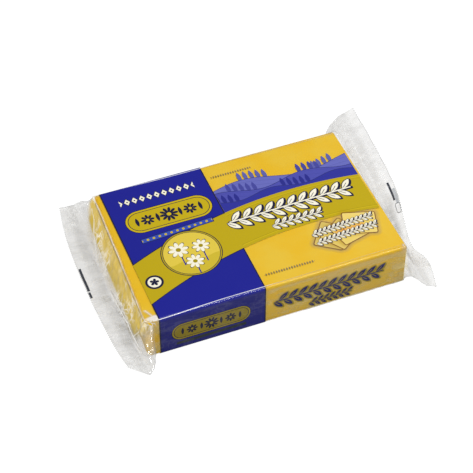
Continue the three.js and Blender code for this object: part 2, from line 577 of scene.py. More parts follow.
def inside(distance, softness=INK_SOFTNESS):
    """1 where a signed distance, in millimetres, is inside a shape, and 0 outside it."""
    return distance.line(-1 / softness, 0.5)


def outline(distance, width):
    """1 within half the width of a shape's edge."""
    return abs(distance).line(-1 / INK_SOFTNESS, 0.5 + width / 2 / INK_SOFTNESS)


def new_group(name, inputs, outputs):
    """A node group with its sockets, as (tree, input node, output node)."""
    tree = bpy.data.node_groups.new(name, "ShaderNodeTree")
    for label, kind in inputs:
        tree.interface.new_socket(label, in_out="INPUT", socket_type=kind)
    for label, kind in outputs:
        tree.interface.new_socket(label, in_out="OUTPUT", socket_type=kind)
    return tree, tree.nodes.new("NodeGroupInput"), tree.nodes.new("NodeGroupOutput")


def shape(*outputs):
    """Turns a function of fields into one node group, which all of the function's uses share."""

    def wrap(build):
        def use(*terms):
            group = bpy.data.node_groups.get(build.__name__)
            if group is None:
                labels = build.__code__.co_varnames[:build.__code__.co_argcount]
                group, inner, outer = new_group(
                    build.__name__,
                    [(label, "NodeSocketFloat") for label in labels],
                    [(label, "NodeSocketFloat") for label in outputs],
                )
                results = build(*(Field(group, inner.outputs[label]) for label in labels))
                for label, result in zip(outputs, results):
                    group.links.new(result.socket, outer.inputs[label])
            tree = terms[0].tree
            node = tree.nodes.new("ShaderNodeGroup")
            node.node_tree = group
            plug_in(node, terms)
            fields = [Field(tree, socket) for socket in node.outputs]
            return fields if len(fields) > 1 else fields[0]

        return use

    return wrap


@shape("Distance")
def disc(x, y, radius):
    """The signed distance from a circle round the origin."""
    return [(y.math("MULTIPLY_ADD", y, x * x)).math("SQRT") - radius]


@shape("Distance")
def oblong(x, y, half_x, half_y, radius):
    """The signed distance from a rectangle round the origin, with rounded corners."""
    over_x = abs(x) - half_x + radius
    over_y = abs(y) - half_y + radius
    corner = disc(over_x.most(0), over_y.most(0), 0.0)
    return [corner + over_x.most(over_y).least(0) - radius]


@shape("Distance")
def daisy(x, y, radius, petals):
    """The signed distance from a flower with separate round petals."""
    angle = y.math("ARCTAN2", x)
    petal = abs((angle * petals * 0.5).cosine()).power(0.7)
    reach = (petal * 0.65 + 0.35) * radius
    return [disc(x, y, 0.0) - reach]


@shape("Distance")
def leaf_of_arcs(x, y, offset, radius):
    """The signed distance from a leaf that stands along y, where two circles overlap."""
    return [disc(abs(x) + offset, y, radius)]


def leaf(x, y, half_length, half_width):
    """The signed distance from a pointed leaf of these half sizes."""
    radius = (half_length ** 2 + half_width ** 2) / (2 * half_width)
    return leaf_of_arcs(x, y, radius - half_width, radius)


# A garland's leaves in units of a leaf's half length: how far apart they are and how they lean.
LEAF_PITCH = 1.6
LEAF_LEAN = 0.8


@shape("Whole", "Veins")
def leafy_stem(x, y, reach):
    """A stem with leaves above and below it, and the leaves' veins."""
    whole = oblong(x, y, reach, 0.1, 0.0)
    veins = None
    for side in (1, -1):
        row_x = x - side * LEAF_PITCH / 4
        leaf_x = row_x.cell(LEAF_PITCH)
        leaf_y = y * side - (math.cos(LEAF_LEAN) + 0.08)
        turned_x = leaf_x * math.cos(LEAF_LEAN) - leaf_y * math.sin(LEAF_LEAN)
        turned_y = leaf_x * math.sin(LEAF_LEAN) + leaf_y * math.cos(LEAF_LEAN)
        beyond_row = (abs(row_x) - reach) * 50
        whole = whole.least(leaf(turned_x, turned_y, 1.0, 0.38).most(beyond_row))
        vein = oblong(turned_x, turned_y + 0.3, 0.045, 0.5, 0.0)
        veins = vein if veins is None else veins.least(vein)
    return [whole, veins]


def garland(x, y, leaves, size):
    """Signed distances of a garland with an odd number of pairs of leaves: (whole, veins)."""
    whole, veins = leafy_stem(x / size, y / size, leaves * LEAF_PITCH / 2)
    return whole * size, veins * size


def mixed_colour(factor, first, second):
    """A colour mixed from two, each a socket or three numbers, by a field."""
    tree = factor.tree
    node = tree.nodes.new("ShaderNodeMix")
    node.data_type = "RGBA"
    tree.links.new(factor.socket, node.inputs["Factor"])
    for index, colour in ((6, first), (7, second)):
        if isinstance(colour, bpy.types.NodeSocket):
            tree.links.new(colour, node.inputs[index])
        else:
            node.inputs[index].default_value = (*colour, 1)
    return node.outputs[2]


def tinted(colour, factor):
    """The colour, made lighter or darker."""
    return tuple(value * factor for value in colour)


class InkLayers:
    """Inks laid one over the other: their colour, and how much of the film they cover."""

    def __init__(self, base):
        self.colour = base
        self.cover = None

    def lay(self, mask, colour):
        """Lays one ink where the mask is 1."""
        self.colour = mixed_colour(mask, self.colour, colour)
        self.cover = mask if self.cover is None else self.cover.most(mask)

    def fill(self, edge, colour, growth=0.0):
        """Lays one ink inside a shape's edge, which may be grown or shrunk first."""
        self.lay(inside(edge - growth if growth else edge), colour)

    def lay_plaque(self, x, y, table, dark, rim, ground, centre):
        """An oblong with rims, and flowers and leaves in a row."""
        plaque = oblong(x, y, *table["edge"])
        for growth, colour in zip(table["growths"], (dark, rim, dark, ground)):
            self.fill(plaque, colour, growth)
        for middle, size, petals in table["flowers"]:
            self.fill(daisy(x - middle, y, size, petals), dark)
            self.fill(disc(x - middle, y, size * 0.24), centre)
        for middle in table["leaves"]:
            self.fill(leaf(x - middle, y, *table["leaf"]), dark)

    def lay_garland(self, x, y, leaves, size, light, shade, shift):
        """A garland of leaves with an outline and a shadow to its lower right."""
        whole, veins = garland(x, y, leaves, size)
        shadow, _ = garland(x - shift, y + shift, leaves, size)
        self.fill(shadow.least(whole), shade, size * 0.13)
        self.lay((inside(whole) - inside(veins)).most(0), light)


# Places and sizes of the print on the unrolled film, in millimetres. Along runs to the right
# from the pack's middle. Across runs to the back from the middle of the top.
PANEL_LEFT = -70.3
PANEL_RIGHT = -9.6
PANEL_LINE = 0.7
# The olive band's edges, each with its height, slope and bend, its inner line and its right end.
BAND_UPPER = (12.0, 0.1451, -0.00211)
BAND_LOWER = (-17.0, 0.1571, -0.00225)
BAND_LINE = 2.2
BAND_RIGHT = 72.2
# The middles across of a side and of a panel underneath.
SIDE_MIDDLE = FLAT_HALF_WIDTH
UNDER_MIDDLE = 100.5
# Middle along, middle across and half sizes of the dark bars printed by the seals.
EYE_MARKS = (
    (-105.3, 8.4, 0.75, 8.8),
    (-105.5, -3.4, 0.7, 2.2),
    (102.9, 3.6, 0.75, 6.4),
)
# Height, swell, pace, shift and colour of each line of hills, the farthest first.
HILLS = (
    (28.0, 3.4, 0.085, 0.9, (0.13, 0.14, 0.47)),
    (23.5, 2.6, 0.12, 2.6, (0.07, 0.075, 0.39)),
    (18.0, 1.8, 0.16, 4.4, (0.026, 0.030, 0.30)),
)
TREE_PITCH = 3.6
# Turn, place along, place across and colour of each slice in the fan.
SLICES = (
    (0.95, 38.5, -27.5, (0.54, 0.38, 0.05)),
    (0.60, 44.0, -28.0, (0.66, 0.47, 0.07)),
    (0.25, 50.0, -27.0, (0.76, 0.56, 0.10)),
    (-0.3, 57.0, -24.0, (0.80, 0.60, 0.13)),
)
# The middle along of the orange stripe over the slices, and its slope and the garlands'.
STRIPE_MIDDLE = 50.0
STRIPE_SLOPE = 0.06
# The middle along of the top plaque and the ribbon under it. Each plaque has its half sizes and
# corner radius, how far its four rims grow, its flowers' places, sizes and petals, its leaves'
# places, and a leaf's half sizes.
PLAQUE_MIDDLE = -38.8
TOP_PLAQUE = {
    "edge": (24.5, 8.0, 7.9),
    "growths": (0.9, 0.45, -0.7, -1.15),
    "flowers": ((0.0, 5.4, 10), (-12.5, 4.0, 8), (12.5, 4.0, 8)),
    "leaves": (-6.6, 6.6, -18.6, 18.6),
    "leaf": (3.4, 1.0),
}
SIDE_PLAQUE = {
    "edge": (22.0, 5.6, 5.5),
    "growths": (0.7, 0.3, -0.5, -0.9),
    "flowers": ((0.0, 4.2, 10), (-11.0, 3.2, 8), (11.0, 3.2, 8)),
    "leaves": (-5.6, 5.6, -16.4, 16.4),
    "leaf": (2.6, 0.8),
}
# Middle along, middle across and size of each daisy in the round field.
DAISIES = ((-6.0, 4.6, 5.6), (6.6, 3.4, 4.8), (-0.2, -6.4, 5.0))
# Middle along, middle across and half length of each row of tiny lozenges.
LOZENGE_ROWS = ((5.2, 39.3, 12.0), (7.7, -41.4, 14.7))
# Inks of the small motifs, as linear values.
INKS = {
    "hill line": (0.02, 0.025, 0.16),
    "furrow": (0.02, 0.025, 0.20),
    "ribbon": (0.035, 0.075, 0.42),
    "round field": (0.72, 0.55, 0.06),
    "meadow": (0.60, 0.46, 0.03),
    "tiny lozenge": (0.13, 0.085, 0.012),
    "slice shadow": (0.34, 0.17, 0.01),
    "slice rim": (0.20, 0.075, 0.008),
    "slice shine": (0.84, 0.66, 0.24),
    "stripe": (0.74, 0.17, 0.01),
    "deep blue": (0.014, 0.018, 0.16),
    "side strip": (0.03, 0.045, 0.05),
    "eye mark": (0.03, 0.035, 0.05),
    "badge": (0.30, 0.36, 0.44),
    "tag": (0.10, 0.11, 0.13),
}


def print_group(colours):
    """The print on the film: its inks' colour and how far they cover the film."""
    tree, inner, outer = new_group(
        "pack print",
        [("Along", "NodeSocketFloat"), ("Across", "NodeSocketFloat")],
        [("Colour", "NodeSocketColor"), ("Cover", "NodeSocketFloat")],
    )
    x = Field(tree, inner.outputs["Along"])
    y = Field(tree, inner.outputs["Across"])
    inks = InkLayers(tuple(colours.film))
    blue, olive = tuple(colours.blue), tuple(colours.olive)
    navy, cream = tuple(colours.navy), tuple(colours.cream)
    light_olive, dark_olive = tinted(olive, 1.22), tinted(olive, 0.72)
    deep_blue = INKS["deep blue"]

    def parabola(terms):
        constant, slope, bend = terms
        return x * slope + x * x * bend + constant

    upper = parabola(BAND_UPPER)
    lower = parabola(BAND_LOWER)

    # Rolling hills over the band, on the right, with poplars on them.
    right_of_panel = inside(-(x - PANEL_RIGHT))
    before_end = inside(x - BAND_RIGHT)
    land = right_of_panel.least(before_end).least(inside(upper - y))
    for height, swell, pace, shift, tint in HILLS:
        ridge = (x * pace + shift).sine() * swell + height
        number = ((x - shift) / TREE_PITCH).math("ROUND")
        grove = (number * 0.55 + shift).cosine() + 0.35
        tree_x = x - shift - number * TREE_PITCH
        poplar = leaf(tree_x, y - ridge - 2.4, 4.2, 1.25).most(grove * 3)
        inks.lay(land.least(inside(poplar)), tinted(tint, 0.8))
        inks.lay(land.least(inside(y - ridge)), tint)
        inks.lay(land.least(outline(y - ridge, 0.4)), INKS["hill line"])
        furrow = outline((y - ridge * 0.55 + x * 0.12).cell(3.2), 0.25) * 0.35
        inks.lay(land.least(inside(y - ridge + 0.8)).least(furrow), INKS["furrow"])

    # The olive band and its inner lines.
    band = inside(y - upper).least(inside(lower - y)).least(before_end)
    band = band.least(inside(-(x - PANEL_LEFT)))

    # The blue panel, which runs on over the front and the back.
    panel_edge = abs(x - (PANEL_LEFT + PANEL_RIGHT) / 2) - (PANEL_RIGHT - PANEL_LEFT) / 2
    off_seam = inside(abs(y) - SEAM_PLACE + 6)
    inks.lay(inside(panel_edge).least(off_seam), blue)
    inks.lay(outline(panel_edge + PANEL_LINE / 2, PANEL_LINE).least(off_seam), navy)
    inks.lay(band, olive)
    inner_edge = (upper - y).least(y - lower)
    on_right = band.least(right_of_panel)
    inks.lay(outline(inner_edge - BAND_LINE, 0.5).least(on_right), light_olive)
    inks.lay(outline(inner_edge - BAND_LINE - 0.5, 0.3).least(on_right), dark_olive)
    on_panel = inside(-(x - PANEL_LEFT)).least(inside(x - PANEL_RIGHT))
    inks.lay(outline(inner_edge, 0.6).least(on_panel), navy)

    # A plaque with three flowers on the panel, and a lighter ribbon of dots under it.
    from_plaque = x - PLAQUE_MIDDLE
    ground = tinted(olive, 1.08)
    inks.lay_plaque(from_plaque, y - 21.0, TOP_PLAQUE, navy, light_olive, ground, light_olive)
    ribbon_y = y - 9.2 - x * 0.05
    ribbon_end = abs(from_plaque) - 21.0
    inks.lay(inside(abs(ribbon_y) - 1.9).least(inside(ribbon_end - 0.4)), navy)
    inks.lay(inside(abs(ribbon_y) - 1.5).least(inside(ribbon_end)), INKS["ribbon"])
    dots = disc(from_plaque.cell(3.5), ribbon_y, 0.75)
    inks.lay(inside(dots).least(inside(ribbon_end + 0.2)), light_olive)

    # A round field of daisies.
    round_x, round_y = x + 37.5, y + 11.5
    field = disc(round_x, round_y, 15.5)
    for colour, growth in ((navy, 1.5), (olive, 1.0), (navy, 0.4), (INKS["round field"], 0)):
        inks.fill(field, colour, growth)
    meadow = (round_x * 0.35).sine() * 0.8 + round_y + 5.0
    inks.lay(inside(field).least(inside(meadow)), INKS["meadow"])
    for centre_x, centre_y, size in DAISIES:
        local_x, local_y = round_x - centre_x, round_y - centre_y
        stalk = oblong(local_x, local_y + 6.0, 0.35, 6.0, 0.0)
        inks.lay(inside(stalk).least(inside(field)), blue)
        inks.fill(daisy(local_x, local_y, size + 0.5, 8), navy)
        inks.fill(daisy(local_x, local_y, size, 8), cream)
        inks.fill(disc(local_x, local_y, size * 0.26), dark_olive)

    # A small ring with a flower, and a row of lozenges at the top of the panel.
    ring_x, ring_y = x + 63.5, y + 24.5
    inks.fill(disc(ring_x, ring_y, 5.0), navy)
    inks.fill(disc(ring_x, ring_y, 3.7), cream)
    inks.fill(daisy(ring_x, ring_y, 2.6, 5), navy)
    lozenge_x = (x + 40.0).cell(4.4)
    lozenge_y = y - 38.0
    lozenge = abs(lozenge_x) * 0.9 + abs(lozenge_y) * 0.62 - 1.5
    lozenge_span = inside(abs(x + 40.0) - 22.0)
    inks.lay(inside(lozenge - 0.4).least(lozenge_span), navy)
    inks.lay(inside(lozenge).least(lozenge_span), cream)
    inks.lay(inside(disc(lozenge_x, lozenge_y, 0.5)).least(lozenge_span), navy)

    # The large garland on the band, and the small one under it.
    tilt_y = y - 2.6 - x * 0.02
    inks.lay_garland(x - 27.0, tilt_y, 11, 4.2, cream, navy, 0.7)
    inks.lay_garland(x - 26.5, y + 8.4, 7, 2.6, cream, navy, 0.5)

    # Two fine rows of tiny lozenges.
    for centre_x, centre_y, span in LOZENGE_ROWS:
        tiny = abs((x - centre_x).cell(1.5)) * 1.15 + abs(y - centre_y) * 0.55 - 0.62
        row = inside(abs(x - centre_x) - span)
        inks.lay(inside(tiny).least(row) * 0.85, INKS["tiny lozenge"])

    # A fan of slices on the lower right.
    for turn, centre_x, centre_y, tint in SLICES:
        from_x, from_y = x - centre_x, y - centre_y
        turned_x = from_x * math.cos(turn) + from_y * math.sin(turn)
        turned_y = from_y * math.cos(turn) - from_x * math.sin(turn)
        slice_edge = oblong(turned_x, turned_y, 9.0, 7.8, 0.8)
        inks.lay(inside(slice_edge - 1.6, 3.2) * 0.45, INKS["slice shadow"])
        inks.lay(inside(slice_edge - 0.6, 0.4), INKS["slice rim"])
        inks.fill(slice_edge, tint)
        shine = inside(-(slice_edge + 2.4), 4.0).least(inside(slice_edge))
        inks.lay(shine * 0.4, INKS["slice shine"])
    stripe_x = x - STRIPE_MIDDLE
    stripe = oblong(stripe_x, y + 25.6 - stripe_x * STRIPE_SLOPE, 8.5, 0.5, 0.5)
    inks.lay(inside(stripe, 2.4) * 0.75, INKS["stripe"])
    row_x = x - 47.5
    for place_y in (21.9, 28.8):
        inks.lay_garland(row_x, y + place_y - row_x * STRIPE_SLOPE, 13, 1.75, cream, navy, 0.4)

    # Front and back: a plaque on the panel and garlands on the clear part.
    rim, ground = tinted(light_olive, 0.9), tinted(olive, 0.85)
    for toward in (-1, 1):
        down = (y - toward * SIDE_MIDDLE) * -toward
        plaque_x = x + 41.0
        inks.lay_plaque(plaque_x, down, SIDE_PLAQUE, navy, rim, ground, olive)
        inks.fill(oblong(plaque_x, down + 8.6, 20.0, 1.1, 0.6), INKS["side strip"])
        inks.lay_garland(x - 28.0, down - 1.4, 11, 3.6, deep_blue, olive, 0.5)
        inks.lay_garland(x - 29.0, down + 7.6, 7, 2.2, deep_blue, olive, 0.4)

    # Underneath: two cream panels with plain rules.
    for toward in (-1, 1):
        panel_x, panel_y = x - 31.0, y * toward - UNDER_MIDDLE
        panel = oblong(panel_x, panel_y, 33.0, 17.0, 1.5)
        inks.lay(inside(panel) * 0.94, cream)
        inks.lay(outline(panel + 1.2, 0.4), deep_blue)
        rule = abs(panel_y.cell(3.4)) - 0.28
        inner = inside(oblong(panel_x, panel_y, 28.0, 12.0, 0.0))
        inks.lay(inside(rule).least(inner), deep_blue)
        inks.fill(oblong(panel_x, panel_y - 13.4, 28.0, 1.1, 0.0), deep_blue)

    # The bars by the seals, and the badge and tag on the right fin.
    for mark_x, mark_y, half_x, half_y in EYE_MARKS:
        inks.fill(oblong(x - mark_x, y - mark_y, half_x, half_y, 0.2), INKS["eye mark"])
    badge = oblong(x - 104.8, y + 0.2, 1.1, 5.0, 0.3)
    inks.lay(inside(badge) * 0.75, INKS["badge"])
    tag = oblong(x - 104.2, y + 8.0, 1.8, 3.0, 1.2)
    inks.lay(outline(tag, 0.55) * 0.9, INKS["tag"])

    tree.links.new(inks.colour, outer.inputs["Colour"])
    tree.links.new(inks.cover.socket, outer.inputs["Cover"])
    return tree


def principled(name, roughness, specular):
    """A new material with its Principled BSDF, as (material, tree, shader)."""
    material = bpy.data.materials.new(name)
    material.use_nodes = True
    tree = material.node_tree
    shader = tree.nodes["Principled BSDF"]
    shader.inputs["Roughness"].default_value = roughness
    shader.inputs["Specular IOR Level"].default_value = specular
    return material, tree, shader


def noise_field(tree, coordinates, scale, detail=3.0, roughness=0.5):
    """A Noise texture read at a vector socket, as a Field."""
    node = tree.nodes.new("ShaderNodeTexNoise")
    node.inputs["Scale"].default_value = scale
    node.inputs["Detail"].default_value = detail
    node.inputs["Roughness"].default_value = roughness
    tree.links.new(coordinates, node.inputs["Vector"])
    return Field(tree, node.outputs["Fac"])


def stretched_noise(tree, vector, scale, turn, detail, roughness=0.6):
    """A noise on the unrolled film, stretched to its two scales and turned, as a Field."""
    node = tree.nodes.new("ShaderNodeMapping")
    node.inputs["Scale"].default_value = (*scale, 1)
    node.inputs["Rotation"].default_value = (0, 0, turn)
    tree.links.new(vector, node.inputs["Vector"])
    return noise_field(tree, node.outputs["Vector"], 1.0, detail, roughness)


def feed_relief(shader, height, strength, distance):
    """Feeds a height to the shader's normal, through a Bump node."""
    tree = height.tree
    bump = tree.nodes.new("ShaderNodeBump")
    bump.inputs["Strength"].default_value = strength
    bump.inputs["Distance"].default_value = distance
    tree.links.new(height.socket, bump.inputs["Height"])
    tree.links.new(bump.outputs["Normal"], shader.inputs["Normal"])


def cheese_material(colours):
    """Smooth yellow cheese: faint mottling, a moist sheen and fine cut marks."""
    material, tree, shader = principled("cheese body", 0.32, 0.3)
    shader.inputs["Coat Weight"].default_value = 0.2
    shader.inputs["Coat Roughness"].default_value = 0.1
    place = tree.nodes.new("ShaderNodeTexCoord").outputs["Object"]
    mottle = noise_field(tree, place, 55.0, 4.0).rise(0.3, 0.7)
    grain = noise_field(tree, place, 900.0, 2.0)
    cheese = tuple(colours.cheese)
    paler = (cheese[0] * 0.99, cheese[1] * 1.08, cheese[2] + 0.022)
    colour = mixed_colour(mottle, cheese, paler)
    tree.links.new(colour, shader.inputs["Base Color"])
    rough = grain * 0.12 + 0.28
    tree.links.new(rough.socket, shader.inputs["Roughness"])
    feed_relief(shader, grain, strength=0.15, distance=0.0002)
    return material


def ridges(field, width):
    """Thin branching lines, where a noise passes its middle value, as a Field from 0 to 1."""
    return abs(field - 0.5).line(-1 / width, 1)


def crease_lines(along, across, table):
    """1 on the lines of a table and 0 beside them, as a Field."""
    lines = None
    for x0, y0, x1, y1, lift, width in table:
        run_x, run_y = x1 - x0, y1 - y0
        from_x, from_y = along - x0, across - y0
        share = (from_x * run_x + from_y * run_y).line(1 / (run_x ** 2 + run_y ** 2), 0)
        gap = disc(from_x - share * run_x, from_y - share * run_y, 0.0)
        line = gap.line(-1 / (0.5 * width), 1) * min(1.0, lift)
        lines = line if lines is None else lines.most(line)
    return lines


# How milky the film is in each place, from 0 (clear) to 1 (opaque).
HAZE = {
    "top": 0.008,
    "side": 0.1,
    "side's right end": 0.1,
    "side's folds": 0.3,
    # Upper band of the sides: milky film, partly a painted reflection.
    "side's band": 0.42,
    "side's lines": 0.45,
    "loose": 0.24,
    "loose streaks": 0.2,
    "left end": 0.07,
    "outer part": 0.1,
    # Painted shade: how much milkier the film is made in the hollows and along the shade lines.
    "painted shade in hollows": 0.2,
    "seam": 0.3,
    "seam's ribs": 0.25,
    # How opaque the painted highlights are: creases, crumpled lines, the fold, the glint and the
    # corners.
    "creases": 0.8,
}
# The film's tints, as linear values.
TINTS = {
    # The cheese seen through the milky film and, further out, a painted reflection of it.
    "by the cheese": (0.60, 0.42, 0.045),
    "further out": (0.46, 0.33, 0.045),
    # Colour of the painted shade in the hollows and along the shade lines.
    "hollow": (0.15, 0.14, 0.11),
    "below the edge": (0.80, 0.70, 0.34),
    # Painted sheen on the loose film's streaks.
    "painted sheen streak": (0.85, 0.84, 0.78),
    # White of the painted highlights.
    "painted highlight": (0.95, 0.95, 0.93),
    # Painted shade that darkens the ink on the sides.
    "shaded ink": (0.012, 0.012, 0.02),
    # Milkier ink, partly a painted reflection on the sides' upper band.
    "milky ink": (0.55, 0.55, 0.60),
    # Painted highlight along the block's upper edges.
    "painted edge highlight": (0.95, 0.95, 0.95),
    # Painted shade in the fins' teeth.
    "painted teeth shade": (0.16, 0.16, 0.16),
}


def film_material(colours):
    """Clear film with its print: hazy where it is loose, with painted highlights on its creases and
    painted shade beside them, glossy on top.
    """
    material, tree, shader = principled("printed film", 0.25, 0.2)
    shader.inputs["Coat Roughness"].default_value = 0.06
    unrolled = tree.nodes.new("ShaderNodeUVMap")
    unrolled.uv_map = "flat"
    flat = unrolled.outputs["UV"]
    split = tree.nodes.new("ShaderNodeSeparateXYZ")
    tree.links.new(flat, split.inputs["Vector"])
    along = Field(tree, split.outputs["X"]) * (1 / MM)
    across = Field(tree, split.outputs["Y"]) * (1 / MM)

    ink = tree.nodes.new("ShaderNodeGroup")
    ink.node_tree = print_group(colours)
    tree.links.new(along.socket, ink.inputs["Along"])
    tree.links.new(across.socket, ink.inputs["Across"])
    cover = Field(tree, ink.outputs["Cover"])

    # Where on the film: its sides, its loose ends, the seals and their crimped bands.
    on_sides = abs(across).rise(TOP_EDGE - 0.5, TOP_EDGE + 2.5)
    beyond = abs(along) - PANEL_HALF
    on_left = inside(along)
    on_right = on_left * -1 + 1
    loose = (beyond + on_left * 1.7).rise(1.5, 3.6)
    on_fin = beyond.rise(GUSSET_FLAT - 1.5, GUSSET_FLAT + 1.5)
    crimp_line = outline(beyond - 28.6, 0.6) * on_right
    # Yellow in the film by the cheese: partly the cheese seen through the milky film, partly a painted
    # reflection of the cheese that fades out beyond the block.
    slanted = beyond + across * 0.05
    fading = slanted.rise(14.6, 12.4) * 0.65 + slanted.rise(21.0, 15.0) * 0.35
    near_left = fading * on_left * (abs(across) + beyond * 0.8).rise(60.0, 50.0)
    near_right = beyond.rise(5.0, 1.0) * on_right * abs(across).rise(50.0, 45.0) * 0.5
    near_cheese = near_left.most(near_right)
    # Painted highlights: a white patch at each corner of the pack, and a white glint where the four
    # short creases meet.
    corner = disc(beyond + 0.3, abs(across) - TOP_EDGE - 0.3, 0.0).rise(5.0, 0.5)
    glint = disc(along - GLINT[0], across - GLINT[1], 0.0).rise(3.0, 1.2)

    # Wrinkles: soft streaks, clouds, and thin lines where the film is crumpled, which are painted
    # white as highlights.
    place = tree.nodes.new("ShaderNodeTexCoord").outputs["Object"]
    clouds = noise_field(tree, place, 60.0, 3.0)
    streaks = stretched_noise(tree, flat, (60, 150), 0.35, 4.0, 0.65)
    side_folds = stretched_noise(tree, flat, (55, 110), 0.7, 4.0)
    crumple = ridges(stretched_noise(tree, flat, (130, 85), 0.6, 4.0), 0.045)
    gathers = ridges(stretched_noise(tree, flat, (45, 210), -0.15, 3.0), 0.05)
    lines = crumple.most(gathers * 0.8) * clouds.rise(0.42, 0.62)
    # The creases' lines, which are painted white as highlights below.
    creases = crease_lines(along, across, CREASES)
    fold_place = beyond + 0.1 + clouds * -1.0
    fold_strength = streaks.rise(0.3, 0.6) * 0.3 + 0.6
    edge_fold = inside(abs(fold_place) - 0.5, 0.9) * fold_strength * on_left

    # The lengthwise seam under the pack, where the film's edges are welded and folded over.
    seam = (abs(across) - SEAM_PLACE + 5.5).rise(-0.3, 0.3) * inside(beyond)
    seam_ribs = (along * 4.2).sine() * 0.5 + 0.5

    # How milky the film is, from clear to opaque.
    side_end = beyond.rise(-14.0, -1.0) * HAZE["side's right end"] * on_right
    patches = stretched_noise(tree, flat, (45, 110), -0.6, 3.0)
    # The upper band of the sides: milkier film, partly haze and partly a painted reflection.
    band_edge = abs(across) - TOP_EDGE + patches * 16.0 - along.rise(20.0, 65.0) * 2.0
    right_part = along.rise(-12.0, -6.0)
    band_top = band_edge.rise(14.6, 11.0) * on_sides * (right_part * 0.8 + 0.2)
    folds = side_folds.rise(0.46, 0.60)
    side_lines = crumple.most(gathers) * side_folds.rise(0.40, 0.55)
    haze_side = folds * HAZE["side's folds"] + HAZE["side"] + side_end
    haze_side = haze_side.most(band_top * HAZE["side's band"])
    haze_side = haze_side.most(side_lines * HAZE["side's lines"])
    outer = beyond.rise(25.5, 29.0)
    behind_end = near_left * beyond.rise(0.3, 2.2) * (streaks * 0.3 + 0.5)
    haze_end = streaks.rise(0.42, 0.75) * HAZE["loose streaks"] + HAZE["loose"]
    haze_end = haze_end + on_left * HAZE["left end"] - outer * HAZE["outer part"] + behind_end
    haze = (haze_side - HAZE["top"]) * on_sides + HAZE["top"]
    haze = haze + (haze_end - haze) * loose
    # Painted shade: the film is made darker and milkier in the hollows and along the lines beside the
    # creases.
    shadow = None
    for place_x, place_y, half_x, half_y in HOLLOWS:
        hollow = oblong(along - place_x, across - place_y, half_x, half_y, 0.0)
        hollow = inside(hollow, HOLLOW_SOFTNESS)
        shadow = hollow if shadow is None else shadow.most(hollow)
    shadow = (shadow * streaks.rise(0.25, 0.5)).most(crease_lines(along, across, SHADE_LINES))
    haze = haze + shadow * HAZE["painted shade in hollows"]
    haze = haze.most(seam * (seam_ribs * HAZE["seam's ribs"] + HAZE["seam"]))
    # White marks, painted as highlights: the crumpled lines, a line along the crimped band, the fold
    # by the left end, the creases, the glint and the corners.
    white = (lines * 0.65).most(crimp_line * streaks * 0.6) * loose
    white = white.most(edge_fold).most(creases.most(glint) * 0.95)
    white = white.most(corner * crumple.most(0.3) * 1.3)
    haze = haze.most(white * HAZE["creases"])
    alpha = haze.most(cover)

    # Its colour: grey; yellow by the cheese, partly a painted reflection of it; painted shade beside
    # the creases; painted sheen on streaks; painted highlights on creases; and painted shade in the
    # toothed edge.
    grey = tuple(colours.film)
    ochre = mixed_colour(beyond.rise(7.0, 12.0), TINTS["by the cheese"], TINTS["further out"])
    yellow = mixed_colour(near_cheese, grey, ochre)
    # Painted shade in the hollows and along the shade lines.
    darker = mixed_colour(shadow * 0.8, yellow, TINTS["hollow"])
    by_block = on_sides * beyond.rise(0.9, -0.3)
    pale = mixed_colour(by_block, darker, TINTS["below the edge"])
    # Painted sheen: lighter streaks on the loose film.
    light_streaks = streaks.rise(0.5, 0.8) * loose * (near_left * -0.25 + 0.35)
    soft = mixed_colour(light_streaks, pale, TINTS["painted sheen streak"])
    haze_colour = mixed_colour(white, soft, TINTS["painted highlight"])
    # Milkier ink in the sides' folds and lines, and in their upper band, which holds a painted
    # reflection.
    milk = (folds * 0.02 + side_lines * 0.05 + band_top * 0.05) * on_sides
    # Painted shade: the ink on the sides is darkened.
    duller = mixed_colour(on_sides * 0.38, ink.outputs["Colour"], TINTS["shaded ink"])
    printed = mixed_colour(milk, duller, TINTS["milky ink"])
    colour = mixed_colour(cover, haze_colour, printed)

    # A painted highlight along the block's upper edges, and painted shade in the teeth on the fins.
    line_place = along.rise(-72.0, -28.0) * 1.3 + along.rise(-5.0, 60.0) * 0.9
    bright_edge = outline(abs(across) - TOP_EDGE + 0.3 + line_place, 0.42) * inside(beyond + 1.5)
    bright_edge = bright_edge * (clouds.rise(0.3, 0.6) * 0.15 + along.rise(5.0, -12.0) * 0.5 + 0.2)
    colour = mixed_colour(bright_edge, colour, TINTS["painted edge highlight"])
    # Painted shade in every other tooth along the fins' outer edges.
    teeth = beyond.rise(32.3, 32.8) * (across * 3.9).cosine().rise(-0.2, 0.2)
    colour = mixed_colour(teeth * 0.6, colour, TINTS["painted teeth shade"])
    tree.links.new(colour, shader.inputs["Base Color"])
    whole = alpha.most(teeth * 0.5).most(bright_edge)
    tree.links.new(whole.socket, shader.inputs["Alpha"])
    long_edge = outline(abs(across) - TOP_EDGE + 0.1, 2.4) * 0.4
    gloss = long_edge.most(loose) * 0.85 + 0.15
    tree.links.new(gloss.socket, shader.inputs["Coat Weight"])
    rough = clouds * 0.15 + 0.15
    tree.links.new(rough.socket, shader.inputs["Roughness"])

    # Fine relief: crumples on the loose film, and the ribs of the crimped seals.
    ribs = (along * 6.3).sine() * on_fin * 0.5 + seam_ribs * seam * 0.5
    crumpled = streaks * (on_left * 0.5 + 0.5) * (on_sides.most(loose) * 0.9 + 0.04)
    relief = crumpled + lines * loose * 0.6 + ribs
    feed_relief(shader, relief, strength=0.35, distance=0.0003)
    return material


# How brightly the floor shows to the camera, and the grey of the light that it throws back.
FLOOR_GLOW = 0.92
FLOOR_THROWN = (0.42, 0.42, 0.42, 1)


